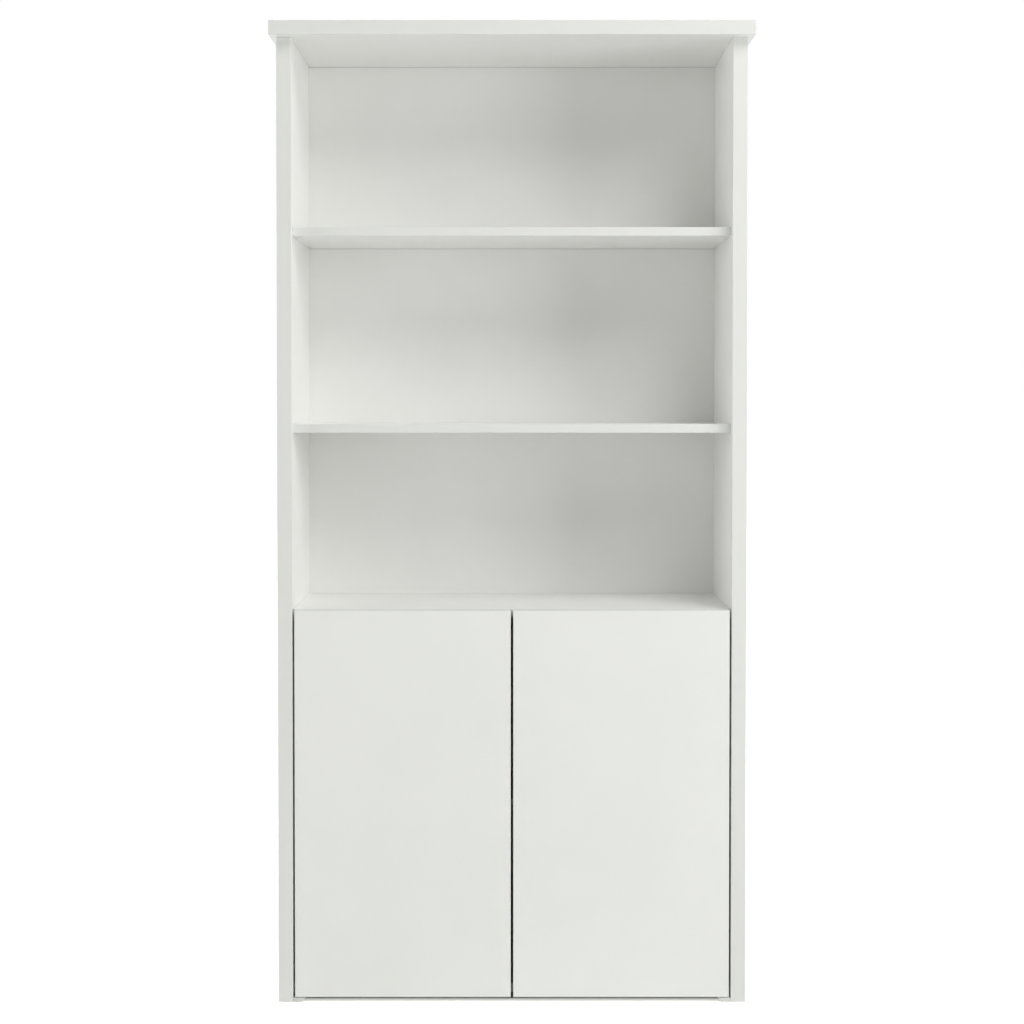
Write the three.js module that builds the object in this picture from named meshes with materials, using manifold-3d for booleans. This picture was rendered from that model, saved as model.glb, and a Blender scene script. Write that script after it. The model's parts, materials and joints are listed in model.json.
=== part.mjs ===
// White bookcase with three open compartments over a two-door cabinet.
// Millimetres, +Z up, the front faces -Y, the origin is on the floor under the middle of the bookcase.

import * as THREE from 'three';
import { mergeVertices } from 'three/addons/utils/BufferGeometryUtils.js';
import Module from 'manifold-3d';

const wasm = await Module();
wasm.setup();

// Carcass
const OVERALL_HEIGHT = 1800;
const BODY_WIDTH = 862;
const BODY_DEPTH = 300;
const TOP_SIDE_OVERHANG = 11;
const TOP_FRONT_OVERHANG = 24;
const TOP_THICKNESS = 26;
const SIDE_THICKNESS = 27;
const SHELF_THICKNESS = 16;
const SHELF_SETBACK = 21;
const EDGE_RADIUS = 1;

// Heights of the boards' upper faces, and of the space under the lowest board
const UPPER_SHELF_TOP = 1430;
const MIDDLE_SHELF_TOP = 1067;
const CABINET_TOP = 725;
const INNER_SHELF_TOP = 370;
const BOTTOM_CLEARANCE = 12;
const INNER_SHELF_SETBACK = 33;

// Clearances between boards and fittings that touch, and the overrun of every cut
const SEAT_GAP = 0.3;
const OVERRUN = 1;

// Back panel, held in grooves
const BACK_THICKNESS = 3;
const BACK_INSET = 9;
const BACK_GROOVE_DEPTH = 8;

// Doors
const DOOR_THICKNESS = 16;
const DOOR_SIDE_GAP = 3.5;
const DOOR_CENTRE_GAP = 4.4;
const DOOR_FLOOR_GAP = 9;

// Corner feet; the front ones have a toe that runs forward under the door
const FOOT_TOP_WIDTH = 28;
const FOOT_FLOOR_WIDTH = 16;
const FOOT_DEPTH = 34;
const FOOT_HOLLOW = 1.5;
const FOOT_TOE_SETBACK = 1;
const FOOT_TOE_CLEARANCE = 1.2;

// Steel shelf pins, half in the side and half in a slot under the shelf
const PIN_DIAMETER = 5;
const PIN_LENGTH = 16;
const PIN_END_CHAMFER = 0.5;
const PIN_EDGE_INSET = 37;

// Cam fittings that draw a board against its neighbour
const CAM_DIAMETER = 15;
const CAM_HEIGHT = 12;
const CAM_RECESS = 0.4;
const CAM_TO_EDGE = 34;
const CAM_EDGE_INSET = 50;
const CAM_CROSS_WIDTH = 1.6;
const CAM_CROSS_LENGTH = 8;
const CAM_CROSS_DEPTH = 2;
const BOLT_AXIS_DEPTH = 8;
const BOLT_DIAMETER = 6;
const BOLT_THREAD_DIAMETER = 5;
const BOLT_PENETRATION = 11;

// Concealed hinge: place of its axis from the door's edge and front face
const HINGE_END_INSET = 100;
const HINGE_AXIS_FROM_EDGE = 9.5;
const HINGE_AXIS_FROM_FRONT = 7.7;

// Hinge cup, let into the door
const CUP_DIAMETER = 35;
const CUP_CENTRE_FROM_EDGE = 22.5;
const CUP_DEPTH = 12.1;
const CUP_WALL = 1;
const CUP_RIM_THICKNESS = 1;
const CUP_RIM_WIDTH = 3;
const CUP_EAR_REACH = 26;
const CUP_EAR_RADIUS = 5;
const CUP_EAR_HOLE_DIAMETER = 4;
const HINGE_PIN_DIAMETER = 2.2;
const HINGE_PIN_CLEARANCE = 0.3;

// Hinge arm, a strip that leaves the cup, goes round the door's edge and runs back on its plate
const ARM_THICKNESS = 2.5;
const ARM_WIDTH = 11;
const ARM_KNUCKLE_DIAMETER = 4.4;
const ARM_EDGE_CLEARANCE = 0.6;
const ARM_INNER_BEND = 2;
const ARM_OUTER_BEND = 4;
const ARM_FROM_AXIS = 4.5;
const ARM_REACH = 62;
const ARM_FLANGE_THICKNESS = 1.2;
const ARM_SCREW_DIAMETER = 6.5;
const ARM_SCREW_HEIGHT = 1.2;
const ARM_SCREW_SLOT = 1.2;
const ARM_FRONT_SCREW = 28;
const ARM_REAR_SCREW = 52;

// Mounting plate under the hinge arm
const PLATE_BASE_THICKNESS = 1.6;
const PLATE_FRONT = 24;
const PLATE_END_MARGIN = 3;
const PLATE_SCREW_SETBACK = 37;
const PLATE_SCREW_SPACING = 32;
const PLATE_EAR_RADIUS = 6;
const PLATE_HOLE_DIAMETER = 4.5;

// Push latch under the cabinet top, one for each door
const LATCH_FROM_MIDDLE = 30;
const LATCH_BASE_WIDTH = 26;
const LATCH_BASE_THICKNESS = 2.4;
const LATCH_LENGTH = 56;
const LATCH_BARREL_DIAMETER = 13;
const LATCH_AXIS_DROP = 8.5;
const LATCH_FRONT_SETBACK = 2;
const LATCH_HOLE_DIAMETER = 4;
const LATCH_HOLE_INSET = 9;
const PLUNGER_DIAMETER = 8;
const PLUNGER_LENGTH = 42;
const PLUNGER_CLEARANCE = 0.4;
const PLUNGER_TIP_DIAMETER = 6;
const PLUNGER_TIP_LENGTH = 1.5;
const STRIKE_DIAMETER = 16;
const STRIKE_THICKNESS = 1.2;

// Facets of round forms
const ROUND_SIDES = 10;
const CAM_SIDES = 16;
const CUP_SIDES = 28;
const BEND_STEPS = 5;
const WRAP_STEPS = 14;
const EDGE_STEPS = 3;

const half = (size) => size / 2;
const inOrder = (...places) => places.sort((a, b) => a - b);

// Planes that the boards share
const REAR = half(BODY_DEPTH + TOP_FRONT_OVERHANG);
const FRONT = REAR - BODY_DEPTH;
const INNER_HALF = half(BODY_WIDTH) - SIDE_THICKNESS;
const SIDE_TOP = OVERALL_HEIGHT - TOP_THICKNESS - SEAT_GAP;
const BACK_REAR = REAR - BACK_INSET;
const BACK_FRONT = BACK_REAR - BACK_THICKNESS;
const SHELF_FRONT = FRONT + SHELF_SETBACK;
const SHELF_REAR = BACK_FRONT - SEAT_GAP;
const SHELF_HALF = INNER_HALF - SEAT_GAP;
const BOTTOM_TOP = BOTTOM_CLEARANCE + SHELF_THICKNESS;
const CABINET_UNDERSIDE = CABINET_TOP - SHELF_THICKNESS;
const DOOR_HEIGHT = CABINET_TOP - DOOR_FLOOR_GAP;
const DOOR_WIDTH = INNER_HALF - DOOR_SIDE_GAP - half(DOOR_CENTRE_GAP);
const HINGE_AXIS_U = DOOR_SIDE_GAP + HINGE_AXIS_FROM_EDGE;
const SIDES = { left: -1, right: 1 };

// Colours, roughness and metalness
const FINISHES = {
  board: { color: 0xe6e7e2, roughness: 0.42, metalness: 0 },
  back: { color: 0xdededa, roughness: 0.6, metalness: 0 },
  steel: { color: 0xc3c5c6, roughness: 0.3, metalness: 1 },
  zinc: { color: 0xa9abad, roughness: 0.45, metalness: 1 },
  plastic: { color: 0xe9e9e6, roughness: 0.5, metalness: 0 },
};

// Solids from geometry, and back

function solidOf(geometry) {
  const bare = geometry.clone();
  bare.deleteAttribute('normal');
  bare.deleteAttribute('uv');
  const welded = mergeVertices(bare);
  const mesh = new wasm.Mesh({
    numProp: 3,
    vertProperties: new Float32Array(welded.attributes.position.array),
    triVerts: new Uint32Array(welded.index.array),
  });
  return new wasm.Manifold(mesh);
}

function geometryOf(solid) {
  const { vertProperties, triVerts, numProp } = solid.getMesh();
  const position = new Float32Array(triVerts.length * 3);
  triVerts.forEach((vertex, corner) => {
    for (let axis = 0; axis < 3; axis += 1) {
      position[corner * 3 + axis] = vertProperties[vertex * numProp + axis];
    }
  });
  const geometry = new THREE.BufferGeometry();
  geometry.setAttribute('position', new THREE.BufferAttribute(position, 3));
  geometry.computeVertexNormals();
  return geometry;
}

function joined(solids) {
  return solids.reduce((whole, solid) => whole.add(solid));
}

function cut(solid, cutters) {
  return cutters.reduce((rest, cutter) => rest.subtract(cutter), solid);
}

function boxSolid(low, high) {
  const size = high.map((value, axis) => value - low[axis]);
  const middle = high.map((value, axis) => half(value + low[axis]));
  const geometry = new THREE.BoxGeometry(...size);
  geometry.translate(...middle);
  return solidOf(geometry);
}

// A round bar between two places along one axis (0, 1 or 2)
function barSolid(axis, start, end, across, diameter, sides = ROUND_SIDES) {
  const geometry = new THREE.CylinderGeometry(half(diameter), half(diameter), end - start, sides);
  const place = [...across];
  place.splice(axis, 0, half(start + end));
  if (axis === 0) {
    geometry.rotateZ(-Math.PI / 2);
  }
  if (axis === 2) {
    geometry.rotateX(Math.PI / 2);
  }
  geometry.translate(...place);
  return solidOf(geometry);
}

function extruded(shape, length, options = {}) {
  const settings = { depth: length, bevelEnabled: false, curveSegments: BEND_STEPS, ...options };
  return new THREE.ExtrudeGeometry(shape, settings);
}

// Boards

// A rectangle whose two corners on the low side of its second axis are rounded
function frontRounded(low, high, radius) {
  const shape = new THREE.Shape();
  shape.moveTo(low[0], high[1]);
  shape.lineTo(low[0], low[1] + radius);
  shape.absarc(low[0] + radius, low[1] + radius, radius, Math.PI, Math.PI * 1.5);
  shape.lineTo(high[0] - radius, low[1]);
  shape.absarc(high[0] - radius, low[1] + radius, radius, Math.PI * 1.5, Math.PI * 2);
  shape.lineTo(high[0], high[1]);
  shape.closePath();
  return shape;
}

// A level board with a rounded front edge and square ends
function levelBoard(front, top) {
  const shape = frontRounded([top - SHELF_THICKNESS, front], [top, SHELF_REAR], EDGE_RADIUS);
  const geometry = extruded(shape, SHELF_HALF + SHELF_HALF, { curveSegments: EDGE_STEPS });
  geometry.applyMatrix4(new THREE.Matrix4().makeBasis(
    new THREE.Vector3(0, 0, 1),
    new THREE.Vector3(0, 1, 0),
    new THREE.Vector3(-1, 0, 0),
  ));
  geometry.translate(SHELF_HALF, 0, 0);
  return solidOf(geometry);
}

// A board with all its edges rounded, lying in X and Z or in X and Y
function easedBoard(low, high, thinAxis) {
  const flat = [0, 1, 2].filter((axis) => axis !== thinAxis);
  const [first, second] = flat;
  const shape = new THREE.Shape();
  shape.moveTo(low[first], low[second]);
  shape.lineTo(high[first], low[second]);
  shape.lineTo(high[first], high[second]);
  shape.lineTo(low[first], high[second]);
  shape.closePath();
  const thickness = high[thinAxis] - low[thinAxis];
  const geometry = extruded(shape, thickness - EDGE_RADIUS - EDGE_RADIUS, {
    bevelEnabled: true,
    bevelThickness: EDGE_RADIUS,
    bevelSize: EDGE_RADIUS,
    bevelOffset: -EDGE_RADIUS,
    bevelSegments: EDGE_STEPS,
  });
  geometry.translate(0, 0, EDGE_RADIUS);
  if (thinAxis === 1) {
    geometry.rotateX(Math.PI / 2);
    geometry.translate(0, high[1], 0);
  } else {
    geometry.translate(0, 0, low[2]);
  }
  return solidOf(geometry);
}

// The side panels' pin holes and the shelves' pin slots share these places
function pinPlaces(front) {
  return { front: front + PIN_EDGE_INSET, rear: SHELF_REAR - PIN_EDGE_INSET };
}

const PINNED_SHELVES = {
  upper: { top: UPPER_SHELF_TOP, front: SHELF_FRONT },
  middle: { top: MIDDLE_SHELF_TOP, front: SHELF_FRONT },
  inner: { top: INNER_SHELF_TOP, front: FRONT + INNER_SHELF_SETBACK },
};

function pinHeight(shelf) {
  return shelf.top - SHELF_THICKNESS + half(PIN_DIAMETER) + SEAT_GAP;
}

function pinHole(side, y, z) {
  const inner = side * (INNER_HALF - OVERRUN);
  const blind = side * (INNER_HALF + half(PIN_LENGTH) + SEAT_GAP);
  const [start, end] = inOrder(inner, blind);
  return barSolid(0, start, end, [y, z], PIN_DIAMETER + SEAT_GAP + SEAT_GAP);
}

function pinSlot(side, y, z) {
  const reach = half(PIN_DIAMETER) + SEAT_GAP;
  const outer = side * (INNER_HALF + OVERRUN);
  const blind = side * (INNER_HALF - half(PIN_LENGTH) - SEAT_GAP);
  const [start, end] = inOrder(outer, blind);
  return boxSolid([start, y - reach, z - PIN_DIAMETER], [end, y + reach, z + reach]);
}

function pinnedShelf(shelf) {
  const z = pinHeight(shelf);
  const places = Object.values(pinPlaces(shelf.front));
  const slots = Object.values(SIDES).flatMap((side) => places.map((y) => pinSlot(side, y, z)));
  return cut(levelBoard(shelf.front, shelf.top), slots);
}

function shelfPin(side) {
  const radius = half(PIN_DIAMETER);
  const profile = [
    new THREE.Vector2(0, -half(PIN_LENGTH)),
    new THREE.Vector2(radius - PIN_END_CHAMFER, -half(PIN_LENGTH)),
    new THREE.Vector2(radius, PIN_END_CHAMFER - half(PIN_LENGTH)),
    new THREE.Vector2(radius, half(PIN_LENGTH) - PIN_END_CHAMFER),
    new THREE.Vector2(radius - PIN_END_CHAMFER, half(PIN_LENGTH)),
    new THREE.Vector2(0, half(PIN_LENGTH)),
  ];
  const geometry = new THREE.LatheGeometry(profile, ROUND_SIDES);
  geometry.rotateZ(-side * Math.PI / 2);
  return solidOf(geometry);
}

// Cam fittings

// Across the board's face is local z, the bolt runs along local x from the cam to the next board
function camFitting() {
  const head = barSolid(2, CAM_RECESS, CAM_RECESS + CAM_HEIGHT, [0, 0], CAM_DIAMETER, CAM_SIDES);
  const shank = barSolid(0, 0, CAM_TO_EDGE, [0, BOLT_AXIS_DEPTH], BOLT_DIAMETER);
  const end = CAM_TO_EDGE + BOLT_PENETRATION;
  const thread = barSolid(0, CAM_TO_EDGE - OVERRUN, end, [0, BOLT_AXIS_DEPTH], BOLT_THREAD_DIAMETER);
  const reach = half(CAM_CROSS_LENGTH);
  const width = half(CAM_CROSS_WIDTH);
  const depth = CAM_RECESS + CAM_CROSS_DEPTH;
  const cross = [
    boxSolid([-reach, -width, 0], [reach, width, depth]),
    boxSolid([-width, -reach, 0], [width, reach, depth]),
  ];
  return cut(joined([head, shank, thread]), cross);
}

function camCutter() {
  const clear = SEAT_GAP + SEAT_GAP;
  const depth = CAM_RECESS + CAM_HEIGHT + SEAT_GAP;
  const head = barSolid(2, -OVERRUN, depth, [0, 0], CAM_DIAMETER + clear, CAM_SIDES);
  const end = CAM_TO_EDGE + BOLT_PENETRATION + SEAT_GAP;
  const shank = barSolid(0, 0, CAM_TO_EDGE + SEAT_GAP, [0, BOLT_AXIS_DEPTH], BOLT_DIAMETER + clear);
  const thread = barSolid(0, CAM_TO_EDGE, end, [0, BOLT_AXIS_DEPTH], BOLT_THREAD_DIAMETER + clear);
  return joined([head, shank, thread]);
}

function levelCamMatrix(side, y, underside) {
  const matrix = new THREE.Matrix4().makeBasis(
    new THREE.Vector3(side, 0, 0),
    new THREE.Vector3(0, side, 0),
    new THREE.Vector3(0, 0, 1),
  );
  return matrix.setPosition(side * (SHELF_HALF - CAM_TO_EDGE), y, underside);
}

function uprightCamMatrix(side, y) {
  const matrix = new THREE.Matrix4().makeBasis(
    new THREE.Vector3(0, 0, 1),
    new THREE.Vector3(0, -side, 0),
    new THREE.Vector3(side, 0, 0),
  );
  return matrix.setPosition(side * INNER_HALF, y, SIDE_TOP - CAM_TO_EDGE);
}

const CAM_ROWS = { front: SHELF_FRONT + CAM_EDGE_INSET, rear: SHELF_REAR - CAM_EDGE_INSET };
const CAMMED_BOARDS = { cabinet_top: CABINET_UNDERSIDE, cabinet_bottom: BOTTOM_CLEARANCE };

function camPlaces() {
  const places = [];
  for (const [sideName, side] of Object.entries(SIDES)) {
    for (const [rowName, y] of Object.entries(CAM_ROWS)) {
      const upright = uprightCamMatrix(side, y);
      places.push({ board: 'top', side, name: `top_${sideName}_${rowName}_cam`, matrix: upright });
      for (const [board, underside] of Object.entries(CAMMED_BOARDS)) {
        const name = `${board}_${sideName}_${rowName}_cam`;
        places.push({ board, side, name, matrix: levelCamMatrix(side, y, underside) });
      }
    }
  }
  return places;
}

const CAM_PLACES = camPlaces();
const CAM_CUTTER_GEOMETRY = geometryOf(camCutter());

function camCutters(chosen) {
  const placed = ({ matrix }) => solidOf(CAM_CUTTER_GEOMETRY.clone().applyMatrix4(matrix));
  return CAM_PLACES.filter(chosen).map(placed);
}

// Carcass boards

function sidePanel(side) {
  const outer = side * half(BODY_WIDTH);
  const inner = side * INNER_HALF;
  const [low, high] = inOrder(outer, inner);
  const profile = frontRounded([low, FRONT], [high, REAR], EDGE_RADIUS);
  const board = solidOf(extruded(profile, SIDE_TOP, { curveSegments: EDGE_STEPS }));
  const grooveMouth = side * (INNER_HALF - OVERRUN);
  const grooveFloor = side * (INNER_HALF + BACK_GROOVE_DEPTH);
  const [grooveLow, grooveHigh] = inOrder(grooveMouth, grooveFloor);
  const groove = boxSolid(
    [grooveLow, BACK_FRONT - SEAT_GAP, -OVERRUN],
    [grooveHigh, BACK_REAR + SEAT_GAP, OVERALL_HEIGHT],
  );
  const holes = Object.values(PINNED_SHELVES).flatMap((shelf) => (
    Object.values(pinPlaces(shelf.front)).map((y) => pinHole(side, y, pinHeight(shelf)))
  ));
  return cut(board, [groove, ...holes, ...camCutters((place) => place.side === side)]);
}

function topPanel() {
  const halfWidth = half(BODY_WIDTH) + TOP_SIDE_OVERHANG;
  const underside = OVERALL_HEIGHT - TOP_THICKNESS;
  const board = easedBoard([-halfWidth, -REAR, underside], [halfWidth, REAR, OVERALL_HEIGHT], 2);
  const grooveHalf = INNER_HALF + BACK_GROOVE_DEPTH;
  const groove = boxSolid(
    [-grooveHalf, BACK_FRONT - SEAT_GAP, underside - OVERRUN],
    [grooveHalf, BACK_REAR + SEAT_GAP, underside + BACK_GROOVE_DEPTH],
  );
  return cut(board, [groove, ...camCutters((place) => place.board === 'top')]);
}

function cammedBoard(board, top) {
  return cut(levelBoard(SHELF_FRONT, top), camCutters((place) => place.board === board));
}

function backPanel() {
  const reach = INNER_HALF + BACK_GROOVE_DEPTH - SEAT_GAP;
  const top = OVERALL_HEIGHT - TOP_THICKNESS + BACK_GROOVE_DEPTH - SEAT_GAP;
  return boxSolid([-reach, BACK_FRONT, BOTTOM_CLEARANCE], [reach, BACK_REAR, top]);
}

// Doors and hinges are made for the left side: x is measured inward from the side panel's inner face,
// y back from the door's front face and z up from the middle of the door or hinge.

const HINGE_HEIGHTS = {
  upper: half(DOOR_HEIGHT) - HINGE_END_INSET,
  lower: HINGE_END_INSET - half(DOOR_HEIGHT),
};
const CUP_X = DOOR_SIDE_GAP + CUP_CENTRE_FROM_EDGE;
const CUP_RIM_TOP = DOOR_THICKNESS + SEAT_GAP + CUP_RIM_THICKNESS;
const CUP_FLOOR = DOOR_THICKNESS - CUP_DEPTH + SEAT_GAP;

function door() {
  const low = [DOOR_SIDE_GAP, 0, -half(DOOR_HEIGHT)];
  const high = [DOOR_SIDE_GAP + DOOR_WIDTH, DOOR_THICKNESS, half(DOOR_HEIGHT)];
  const boreFloor = DOOR_THICKNESS - CUP_DEPTH;
  const boreDiameter = CUP_DIAMETER + SEAT_GAP + SEAT_GAP;
  const bores = Object.values(HINGE_HEIGHTS).map((z) => (
    barSolid(1, boreFloor, DOOR_THICKNESS + OVERRUN, [CUP_X, z], boreDiameter, CUP_SIDES)
  ));
  return cut(easedBoard(low, high, 1), bores);
}

// The rim's outline: a ring round the cup that widens into two screw ears above and below it
function cupRimShape() {
  const reach = half(CUP_DIAMETER) + CUP_RIM_WIDTH;
  const shape = new THREE.Shape();
  const meet = Math.acos(CUP_EAR_RADIUS / reach);
  shape.absarc(0, 0, reach, -meet, meet);
  shape.absarc(0, CUP_EAR_REACH, CUP_EAR_RADIUS, 0, Math.PI);
  shape.absarc(0, 0, reach, Math.PI - meet, Math.PI + meet);
  shape.absarc(0, -CUP_EAR_REACH, CUP_EAR_RADIUS, Math.PI, Math.PI * 2);
  shape.closePath();
  for (const y of [CUP_EAR_REACH, -CUP_EAR_REACH]) {
    const hole = new THREE.Path();
    hole.absarc(0, y, half(CUP_EAR_HOLE_DIAMETER), 0, Math.PI * 2);
    shape.holes.push(hole);
  }
  return shape;
}

function hingeCup() {
  const rimGeometry = extruded(cupRimShape(), CUP_RIM_THICKNESS);
  rimGeometry.rotateX(Math.PI / 2);
  rimGeometry.translate(CUP_X, CUP_RIM_TOP, 0);
  const centre = [CUP_X, 0];
  const outer = barSolid(1, CUP_FLOOR, CUP_RIM_TOP, centre, CUP_DIAMETER, CUP_SIDES);
  const innerDiameter = CUP_DIAMETER - CUP_WALL - CUP_WALL;
  const inner = barSolid(1, CUP_FLOOR + CUP_WALL, CUP_RIM_TOP + OVERRUN, centre, innerDiameter, CUP_SIDES);
  const shell = joined([solidOf(rimGeometry), outer]).subtract(inner);
  const pinFarSide = CUP_X - HINGE_AXIS_U + half(HINGE_PIN_DIAMETER);
  const pinReach = Math.sqrt((half(CUP_DIAMETER) - SEAT_GAP) ** 2 - pinFarSide ** 2);
  const pinAxis = [HINGE_AXIS_U, HINGE_AXIS_FROM_FRONT];
  const pin = barSolid(2, -pinReach, pinReach, pinAxis, HINGE_PIN_DIAMETER);
  return shell.add(pin);
}

// Points along an arc
function arcPoints(centreX, centreY, radius, start, end, steps) {
  const points = [];
  for (let step = 0; step <= steps; step += 1) {
    const angle = start + ((end - start) * step) / steps;
    points.push(new THREE.Vector2(centreX + radius * Math.cos(angle), centreY + radius * Math.sin(angle)));
  }
  return points;
}

// The arm's centre line, from the pin: level into the cup, round the door's edge, then straight back.
// Its points are measured from the hinge axis.
function armCentreLine() {
  const doorCorner = Math.hypot(HINGE_AXIS_FROM_EDGE, DOOR_THICKNESS - HINGE_AXIS_FROM_FRONT);
  const wrap = doorCorner + ARM_EDGE_CLEARANCE + half(ARM_THICKNESS);
  const level = half(ARM_THICKNESS - ARM_KNUCKLE_DIAMETER);
  const innerY = level + ARM_INNER_BEND;
  const innerX = Math.sqrt((wrap - ARM_INNER_BEND) ** 2 - innerY ** 2);
  const innerEnd = Math.atan2(innerY, innerX);
  const outerX = ARM_OUTER_BEND - ARM_FROM_AXIS;
  const outerY = Math.sqrt((wrap + ARM_OUTER_BEND) ** 2 - outerX ** 2);
  const outerStart = Math.atan2(outerY, outerX);
  return [
    new THREE.Vector2(0, level),
    ...arcPoints(innerX, innerY, ARM_INNER_BEND, -Math.PI / 2, innerEnd, BEND_STEPS),
    ...arcPoints(0, 0, wrap, innerEnd, outerStart, WRAP_STEPS).slice(1),
    ...arcPoints(outerX, outerY, ARM_OUTER_BEND, Math.PI + outerStart, Math.PI, BEND_STEPS).slice(1),
    new THREE.Vector2(-ARM_FROM_AXIS, ARM_REACH - HINGE_AXIS_FROM_FRONT),
  ];
}

// The outline of a strip of even thickness along a centre line
function stripShape(points, thickness) {
  const offsets = points.map((point, index) => {
    const before = points[Math.max(index - 1, 0)];
    const after = points[Math.min(index + 1, points.length - 1)];
    const along = after.clone().sub(before).normalize();
    return new THREE.Vector2(-along.y, along.x).multiplyScalar(half(thickness));
  });
  const left = points.map((point, index) => point.clone().add(offsets[index]));
  const right = points.map((point, index) => point.clone().sub(offsets[index]));
  return new THREE.Shape([...left, ...right.reverse()]);
}

const ARM_OUTER_FACE = HINGE_AXIS_U - ARM_FROM_AXIS + half(ARM_THICKNESS);
const ARM_UNDERSIDE = HINGE_AXIS_U - ARM_FROM_AXIS - half(ARM_THICKNESS);
const PLATE_BASE_TOP = SEAT_GAP + PLATE_BASE_THICKNESS;

function armScrew(y) {
  const top = ARM_OUTER_FACE + ARM_SCREW_HEIGHT;
  const head = barSolid(0, ARM_OUTER_FACE - half(ARM_THICKNESS), top, [y, 0], ARM_SCREW_DIAMETER);
  const reach = half(ARM_SCREW_DIAMETER) + OVERRUN;
  const width = half(ARM_SCREW_SLOT);
  const slot = boxSolid([ARM_OUTER_FACE + SEAT_GAP, y - width, -reach], [top + OVERRUN, y + width, reach]);
  return head.subtract(slot);
}

function hingeArm() {
  const strip = extruded(stripShape(armCentreLine(), ARM_THICKNESS), ARM_WIDTH);
  strip.translate(HINGE_AXIS_U, HINGE_AXIS_FROM_FRONT, -half(ARM_WIDTH));
  const axis = [HINGE_AXIS_U, HINGE_AXIS_FROM_FRONT];
  const edge = half(ARM_WIDTH);
  const knuckle = barSolid(2, -edge, edge, axis, ARM_KNUCKLE_DIAMETER);
  const boreDiameter = HINGE_PIN_DIAMETER + HINGE_PIN_CLEARANCE + HINGE_PIN_CLEARANCE;
  const bore = barSolid(2, -edge - OVERRUN, edge + OVERRUN, axis, boreDiameter);
  const inner = edge - ARM_FLANGE_THICKNESS;
  const low = PLATE_BASE_TOP + SEAT_GAP;
  const high = ARM_UNDERSIDE + half(ARM_THICKNESS);
  const flanges = [
    boxSolid([low, PLATE_FRONT, inner], [high, ARM_REACH, edge]),
    boxSolid([low, PLATE_FRONT, -edge], [high, ARM_REACH, -inner]),
  ];
  const screws = [ARM_FRONT_SCREW, ARM_REAR_SCREW].map(armScrew);
  return joined([solidOf(strip), knuckle, ...flanges, ...screws]).subtract(bore);
}

// The plate's outline in y and z: a strip with a rounded screw ear on each side
function plateShape() {
  const width = half(ARM_WIDTH);
  const rear = ARM_REACH - PLATE_END_MARGIN;
  const ear = half(PLATE_SCREW_SPACING);
  const shape = new THREE.Shape();
  shape.moveTo(PLATE_FRONT, -width);
  shape.lineTo(PLATE_SCREW_SETBACK - PLATE_EAR_RADIUS, -width);
  shape.absarc(PLATE_SCREW_SETBACK, -ear, PLATE_EAR_RADIUS, -Math.PI, 0);
  shape.lineTo(PLATE_SCREW_SETBACK + PLATE_EAR_RADIUS, -width);
  shape.lineTo(rear, -width);
  shape.lineTo(rear, width);
  shape.lineTo(PLATE_SCREW_SETBACK + PLATE_EAR_RADIUS, width);
  shape.absarc(PLATE_SCREW_SETBACK, ear, PLATE_EAR_RADIUS, 0, Math.PI);
  shape.lineTo(PLATE_SCREW_SETBACK - PLATE_EAR_RADIUS, width);
  shape.lineTo(PLATE_FRONT, width);
  shape.closePath();
  for (const z of [ear, -ear]) {
    const hole = new THREE.Path();
    hole.absarc(PLATE_SCREW_SETBACK, z, half(PLATE_HOLE_DIAMETER), 0, Math.PI * 2);
    shape.holes.push(hole);
  }
  return shape;
}

// Turns a shape drawn in y and z into a plate that rises along x
function alongX(geometry) {
  return geometry.applyMatrix4(new THREE.Matrix4().makeBasis(
    new THREE.Vector3(0, 1, 0),
    new THREE.Vector3(0, 0, 1),
    new THREE.Vector3(1, 0, 0),
  ));
}

function hingePlate() {
  const base = alongX(extruded(plateShape(), PLATE_BASE_THICKNESS));
  base.translate(SEAT_GAP, 0, 0);
  const width = half(ARM_WIDTH) - ARM_FLANGE_THICKNESS - SEAT_GAP;
  const rear = ARM_REACH - PLATE_END_MARGIN;
  const boss = boxSolid(
    [PLATE_BASE_TOP - half(PLATE_BASE_THICKNESS), PLATE_FRONT, -width],
    [ARM_UNDERSIDE - SEAT_GAP, rear, width],
  );
  return solidOf(base).add(boss);
}

// Push latches: x is measured from the latch's middle, y back from the door's front face
// and z up from the underside of the cabinet top.

const STRIKE_FRONT = DOOR_THICKNESS + SEAT_GAP;
const PLUNGER_FRONT = STRIKE_FRONT + STRIKE_THICKNESS + SEAT_GAP;
const LATCH_FRONT = SHELF_SETBACK + LATCH_FRONT_SETBACK;
const LATCH_REAR = LATCH_FRONT + LATCH_LENGTH;

function latchHousing() {
  const edge = half(LATCH_BASE_WIDTH);
  const axis = [0, -LATCH_AXIS_DROP];
  const baseLow = -SEAT_GAP - LATCH_BASE_THICKNESS;
  const base = boxSolid([-edge, LATCH_FRONT, baseLow], [edge, LATCH_REAR, -SEAT_GAP]);
  const barrel = barSolid(1, LATCH_FRONT, LATCH_REAR, axis, LATCH_BARREL_DIAMETER, CAM_SIDES);
  const boreDiameter = PLUNGER_DIAMETER + PLUNGER_CLEARANCE + PLUNGER_CLEARANCE;
  const boreEnd = LATCH_REAR - half(LATCH_BARREL_DIAMETER - boreDiameter);
  const bore = barSolid(1, LATCH_FRONT - OVERRUN, boreEnd, axis, boreDiameter, CAM_SIDES);
  const holeX = half(edge + half(LATCH_BARREL_DIAMETER));
  const holes = [];
  for (const x of [holeX, -holeX]) {
    for (const y of [LATCH_FRONT + LATCH_HOLE_INSET, LATCH_REAR - LATCH_HOLE_INSET]) {
      holes.push(barSolid(2, baseLow - OVERRUN, 0, [x, y], LATCH_HOLE_DIAMETER));
    }
  }
  return cut(base.add(barrel), [bore, ...holes]);
}

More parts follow.
